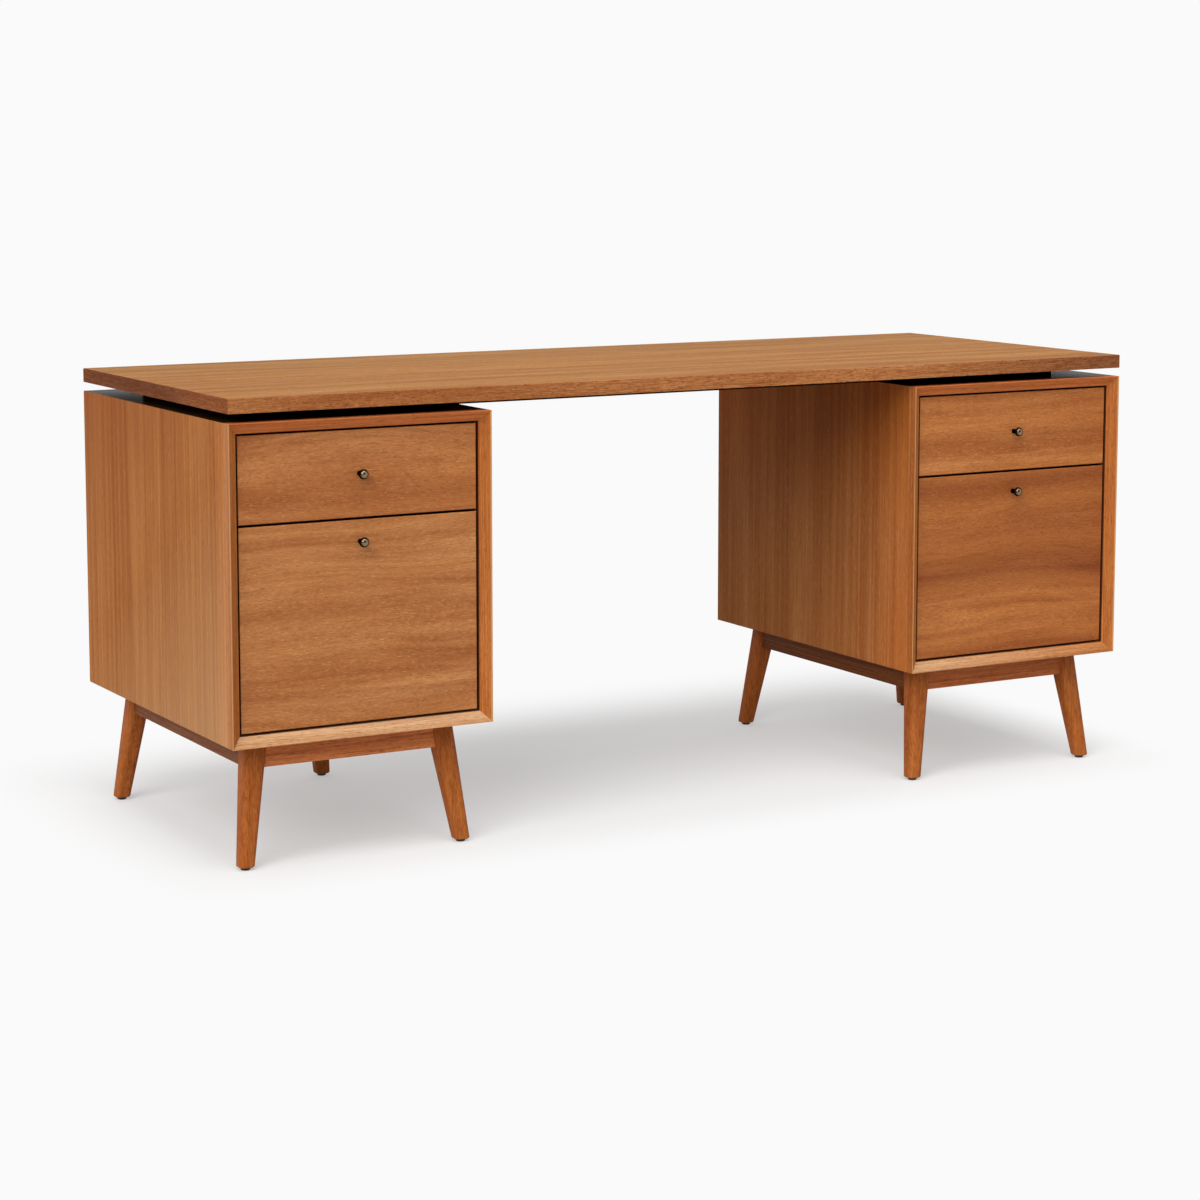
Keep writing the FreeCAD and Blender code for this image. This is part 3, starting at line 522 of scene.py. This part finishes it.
# Zinc-plated steel: bright grey, drawn along its length, with a faint bluish bloom
zincSettings = {
    "grey": "#B4B8BC", "bloom": "#CCCDC9", "bloomSize": 0.03,
    "drawnWidth": 0.0012, "drawnLength": 0.12, "drawnLow": 0.3, "drawnHigh": 0.7,
    "bright": 0.28, "dull": 0.42,
}
zinc, tree, shader = newMaterial("zincPlatedSteel")
place = addNode(tree, "TexCoord").outputs["Object"]
across = 1 / zincSettings["drawnWidth"]
along = addNode(tree, "Mapping", {
    "Vector": place, "Scale": (across, 1 / zincSettings["drawnLength"], across)})
drawn = addNode(tree, "TexNoise", {"Vector": along.outputs["Vector"], "Scale": 1, "Detail": 2})
bloom = addNode(tree, "TexNoise", {"Vector": place, "Scale": 1 / zincSettings["bloomSize"], "Detail": 2})
tone = addNode(tree, "Mix", {
    0: bloom.outputs["Fac"], 6: toLinear(zincSettings["grey"]), 7: toLinear(zincSettings["bloom"])},
    data_type="RGBA")
gloss = addNode(tree, "MapRange", {
    "Value": drawn.outputs["Fac"],
    "From Min": zincSettings["drawnLow"], "From Max": zincSettings["drawnHigh"],
    "To Min": zincSettings["bright"], "To Max": zincSettings["dull"]})
tree.links.new(tone.outputs[2], shader.inputs["Base Color"])
tree.links.new(gloss.outputs["Result"], shader.inputs["Roughness"])
shader.inputs["Metallic"].default_value = 1
dress(zinc, *[f"{side}_{piece}" for side in sides for piece in ("outer_runners", "lower_drawer_file_bars")],
      *[f"{drawer}_{member}_runners" for drawer in drawers for member in ("inner", "middle")])

# Moulded nylon feet: black, matt, with a fine spark-eroded grain drawn at 0.6 mm
nylonSettings = {
    "dark": "#121212", "pale": "#1E1E1D", "roughness": 0.6,
    "grit": 0.0006, "relief": 0.3, "gritDepth": 0.0001,
}
nylon, tree, shader = newMaterial("blackNylon")
place = addNode(tree, "TexCoord").outputs["Object"]
grit = addNode(tree, "TexNoise", {"Vector": place, "Scale": 1 / nylonSettings["grit"], "Detail": 1})
tone = addNode(tree, "Mix", {
    0: grit.outputs["Fac"], 6: toLinear(nylonSettings["dark"]), 7: toLinear(nylonSettings["pale"])},
    data_type="RGBA")
relief = addNode(tree, "Bump", {
    "Height": grit.outputs["Fac"], "Strength": nylonSettings["relief"],
    "Distance": nylonSettings["gritDepth"]})
tree.links.new(tone.outputs[2], shader.inputs["Base Color"])
tree.links.new(relief.outputs["Normal"], shader.inputs["Normal"])
shader.inputs["Roughness"].default_value = nylonSettings["roughness"]
dress(nylon, *[f"{side}_{end}_{flank}_foot" for side in sides for end in ("front", "back")
               for flank in ("outer", "inner")])
print("metal and plastic: dressed")

# Cross-recess pan-head screws, modelled once: turned head with a rounded rim and two milled slots
screwSettings = {
    "headRadius": 0.0042, "headHeight": 0.0026, "facets": 24, "rim": 0.0015, "rimSteps": 4,
    "slotLength": 0.0046, "slotWidth": 0.0011, "slotDepth": 0.0015,
    "smoothAngle": 35, "twist": 38,    # degrees
}
headTop = screwSettings["headHeight"]
bpy.ops.object.select_all(action="DESELECT")
bpy.ops.mesh.primitive_cylinder_add(vertices=screwSettings["facets"], radius=screwSettings["headRadius"],
                                    depth=headTop, location=(0, 0, headTop / 2))
screw = bpy.context.object
bpy.ops.object.transform_apply(location=True, rotation=True, scale=True)
bpy.ops.object.mode_set(mode="EDIT")
bpy.ops.mesh.select_mode(type="EDGE")
bpy.ops.mesh.select_all(action="DESELECT")
bpy.ops.object.mode_set(mode="OBJECT")
for edge in screw.data.edges:
    ends = [screw.data.vertices[corner].co.z for corner in edge.vertices]
    edge.select = min(ends) > headTop / 2
bpy.ops.object.mode_set(mode="EDIT")
bpy.ops.mesh.bevel(offset=screwSettings["rim"], segments=screwSettings["rimSteps"], profile=0.5)
bpy.ops.object.mode_set(mode="OBJECT")
for quarter in (0, 1):
    bpy.ops.object.select_all(action="DESELECT")
    slotSize = (screwSettings["slotLength"], screwSettings["slotWidth"], 2 * screwSettings["slotDepth"])
    bpy.ops.mesh.primitive_cube_add(size=1, location=(0, 0, headTop), scale=slotSize,
                                    rotation=(0, 0, math.radians(90 * quarter)))
    cutter = bpy.context.object
    bpy.ops.object.select_all(action="DESELECT")
    screw.select_set(True)
    bpy.context.view_layer.objects.active = screw
    slotCut = screw.modifiers.new("slot", "BOOLEAN")
    slotCut.object = cutter
    slotCut.operation = "DIFFERENCE"
    bpy.ops.object.modifier_apply(modifier=slotCut.name)
    bpy.data.objects.remove(cutter)
bpy.ops.object.shade_smooth_by_angle(angle=math.radians(screwSettings["smoothAngle"]))
screw.data.materials.clear()
screw.data.materials.append(zinc)


def driveScrews(name, body, places, size):
    # copies of the screw, each turned a little further, joined into one piece
    bpy.ops.object.select_all(action="DESELECT")
    for number, (spot, facing) in enumerate(places):
        driven = screw.copy()
        driven.data = screw.data.copy()
        turn = Vector(facing).to_track_quat("Z", "Y").to_matrix().to_4x4()
        twist = Matrix.Rotation(math.radians(screwSettings["twist"] * number), 4, "Z")
        driven.data.transform(Matrix.Translation(spot) @ turn @ twist @ Matrix.Scale(size, 4))
        bpy.context.scene.collection.objects.link(driven)
        driven.select_set(True)
        bpy.context.view_layer.objects.active = driven
    bpy.ops.object.join()
    piece = bpy.context.object
    piece.name = name
    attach(piece, body)


# Where the drawers are screwed together, in metres
drawerScrews = {
    "boxWall": 0.012, "fromMiddle": 0.14, "aboveBase": 0.034, "belowTop": 0.022, "frontSize": 1,
    "knobSize": 1.15,
    "plate": 0.0015, "fromRunnerEnd": 0.035, "runnerSize": 0.8,
    "barThickness": 0.003, "barDrop": 0.006, "fromBarEnd": 0.06, "barSize": 0.8,
}
for side in sides:
    for level in levels:
        drawer = f"{side}_{level}_drawer"
        boxLow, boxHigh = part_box(f"{drawer}_sides")
        endsLow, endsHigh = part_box(f"{drawer}_ends")
        centre = (boxLow.x + boxHigh.x) / 2
        innerFace = endsLow.y + drawerScrews["boxWall"]
        heights = (endsLow.z + drawerScrews["aboveBase"], endsHigh.z - drawerScrews["belowTop"])
        driveScrews(f"{drawer}_front_screws", drawer, [
            ((centre + hand * drawerScrews["fromMiddle"], innerFace, height), (0, 1, 0))
            for hand in (-1, 1) for height in heights], drawerScrews["frontSize"])

        knobLow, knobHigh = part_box(f"{drawer}_knob")
        knobHeight = (knobLow.z + knobHigh.z) / 2
        behindKnob = innerFace if knobHeight < endsHigh.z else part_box(f"{drawer}_front")[1].y
        driveScrews(f"{drawer}_knob_screw", drawer, [((centre, behindKnob, knobHeight), (0, 1, 0))],
                    drawerScrews["knobSize"])

        runnerLow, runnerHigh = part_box(f"{drawer}_inner_runners")
        runnerMiddle = (runnerLow + runnerHigh) / 2
        stations = (runnerLow.y + drawerScrews["fromRunnerEnd"], runnerMiddle.y,
                    runnerHigh.y - drawerScrews["fromRunnerEnd"])
        plates = {-1: boxLow.x - drawerScrews["plate"], 1: boxHigh.x + drawerScrews["plate"]}
        driveScrews(f"{drawer}_runner_screws", drawer, [
            ((plates[hand], station, runnerMiddle.z), (hand, 0, 0))
            for hand in (-1, 1) for station in stations], drawerScrews["runnerSize"])

        if level == "lower":
            barLow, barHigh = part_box(f"{drawer}_file_bars")
            inset = drawerScrews["boxWall"] + drawerScrews["barThickness"]
            faces = {-1: boxLow.x + inset, 1: boxHigh.x - inset}
            stations = (barLow.y + drawerScrews["fromBarEnd"], (barLow.y + barHigh.y) / 2,
                        barHigh.y - drawerScrews["fromBarEnd"])
            driveScrews(f"{drawer}_bar_screws", drawer, [
                ((faces[hand], station, boxHigh.z - drawerScrews["barDrop"]), (-hand, 0, 0))
                for hand in (-1, 1) for station in stations], drawerScrews["barSize"])
bpy.data.objects.remove(screw)
print("screws: driven into", len(drawers), "drawers")

# Studio: one pale floor without an edge in view, an even white room and two wide soft lamps overhead
studio = {
    "floorSize": 400,
    "white": 0.956,       # what the camera sees as the background, linear
    "floorGlow": 0.38,    # the part of that white that the floor keeps in shadow
    "roomLight": 0.544,
    # metres out from the desk where its shadow starts to fade, and where the floor is plain white
    "cleared": {"beside": (-0.03, 0.2), "before": (-0.05, 0.17), "behind": (0, 0.5)},
    # the room's dark end, which only mirror-bright metal shows: its direction, where it starts and is full
    # (cosines of the angle from that direction), and the light left in it
    "darkEnd": (-0.49, -0.86, 0.12), "darkFrom": 0.5, "darkFull": 0.8, "darkLight": 0.04,
    "floorTones": ("#BABABA", "#BBBBBB"), "floorClouds": 2.5,    # metres
    "lamps": {            # strength, spread in degrees, and where the light comes from
        "softLeft": (1.9, 42, (-0.65, -0.5, 0.57)),
        "softTop": (0.95, 30, (-0.05, -0.35, 0.94)),
    },
}


def seenRays(tree):
    # 1 for what the eye sees straight, mirrored or through glass, 0 for light on its way to a surface
    path = addNode(tree, "LightPath").outputs
    straight = addNode(tree, "Math", {
        0: path["Is Camera Ray"], 1: path["Is Glossy Ray"]}, operation="MAXIMUM").outputs[0]
    return addNode(tree, "Math", {
        0: straight, 1: path["Is Transmission Ray"]}, operation="MAXIMUM").outputs[0]


bpy.ops.object.select_all(action="DESELECT")
bpy.ops.mesh.primitive_plane_add(size=studio["floorSize"])
floor = bpy.context.object
floor.name = "studioFloor"
floorMaterial, tree, shader = newMaterial("paleStudioFloor")
place = addNode(tree, "TexCoord").outputs["Object"]
cloud = addNode(tree, "TexNoise", {"Vector": place, "Scale": 1 / studio["floorClouds"], "Detail": 1})
darker, paler = [toLinear(code) for code in studio["floorTones"]]
tone = addNode(tree, "Mix", {0: cloud.outputs["Fac"], 6: darker, 7: paler}, data_type="RGBA")
seen = seenRays(tree)
# away from the desk the camera sees plain white, while the light that the floor throws up stays the same
spot = axes(floorMaterial, "Object")
acrossFloor = addNode(tree, "Math", {0: spot["X"]}, operation="ABSOLUTE").outputs[0]
beyond = {}
for way, (far, near) in {
    "beside": (acrossFloor, topHigh.x), "before": (topLow.y, spot["Y"]), "behind": (spot["Y"], topHigh.y),
}.items():
    distance = addNode(tree, "Math", {0: far, 1: near}, operation="SUBTRACT").outputs[0]
    fadeFrom, fadeTo = studio["cleared"][way]
    beyond[way] = addNode(tree, "MapRange", {"Value": distance, "From Min": fadeFrom, "From Max": fadeTo},
                          interpolation_type="SMOOTHSTEP").outputs["Result"]
apart = addNode(tree, "CombineXYZ", {
    "X": beyond["beside"], "Y": beyond["before"], "Z": beyond["behind"]}).outputs["Vector"]
apart = addNode(tree, "VectorMath", {0: apart}, operation="LENGTH").outputs["Value"]
clear = addNode(tree, "Math", {0: apart, 1: seen}, operation="MULTIPLY", use_clamp=True).outputs[0]
tone = addNode(tree, "Mix", {0: clear, 6: tone.outputs[2], 7: (0, 0, 0, 1)}, data_type="RGBA")
glow = addNode(tree, "MapRange", {"Value": clear, "To Min": studio["floorGlow"], "To Max": studio["white"]})
glow = addNode(tree, "Math", {0: seen, 1: glow.outputs["Result"]}, operation="MULTIPLY")
tree.links.new(tone.outputs[2], shader.inputs["Base Color"])
tree.links.new(glow.outputs[0], shader.inputs["Emission Strength"])
shader.inputs["Emission Color"].default_value = (1, 1, 1, 1)
shader.inputs["Roughness"].default_value = 1
shader.inputs["Specular IOR Level"].default_value = 0
floor.data.materials.append(floorMaterial)

world = bpy.data.worlds.new("whiteRoom")
bpy.context.scene.world = world
world.use_nodes = True
tree = world.node_tree
roomLevel = addNode(tree, "MapRange", {
    "Value": seenRays(tree), "To Min": studio["roomLight"], "To Max": studio["white"]}).outputs["Result"]
heading = addNode(tree, "TexCoord").outputs["Generated"]
towards = addNode(tree, "VectorMath", {
    0: heading, 1: studio["darkEnd"]}, operation="DOT_PRODUCT").outputs["Value"]
darkness = addNode(tree, "MapRange", {
    "Value": towards, "From Min": studio["darkFrom"], "From Max": studio["darkFull"],
    "To Min": 1, "To Max": studio["darkLight"]}).outputs["Result"]
mirrored = addNode(tree, "LightPath").outputs["Is Glossy Ray"]
dimming = addNode(tree, "Mix", {0: mirrored, 2: 1, 3: darkness}).outputs[0]
brightness = addNode(tree, "Math", {0: roomLevel, 1: dimming}, operation="MULTIPLY").outputs[0]
background = tree.nodes["Background"]
tree.links.new(brightness, background.inputs["Strength"])
background.inputs["Color"].default_value = (1, 1, 1, 1)

for lampName, (strength, spread, comesFrom) in studio["lamps"].items():
    lampData = bpy.data.lights.new(lampName, "SUN")
    lampData.energy = strength
    lampData.angle = math.radians(spread)
    lamp = bpy.data.objects.new(lampName, lampData)
    lamp.rotation_euler = Vector(comesFrom).to_track_quat("Z", "Y").to_euler()
    bpy.context.scene.collection.objects.link(lamp)
bpy.context.scene.view_settings.view_transform = "Standard"
print("studio: floor, room and lamps")
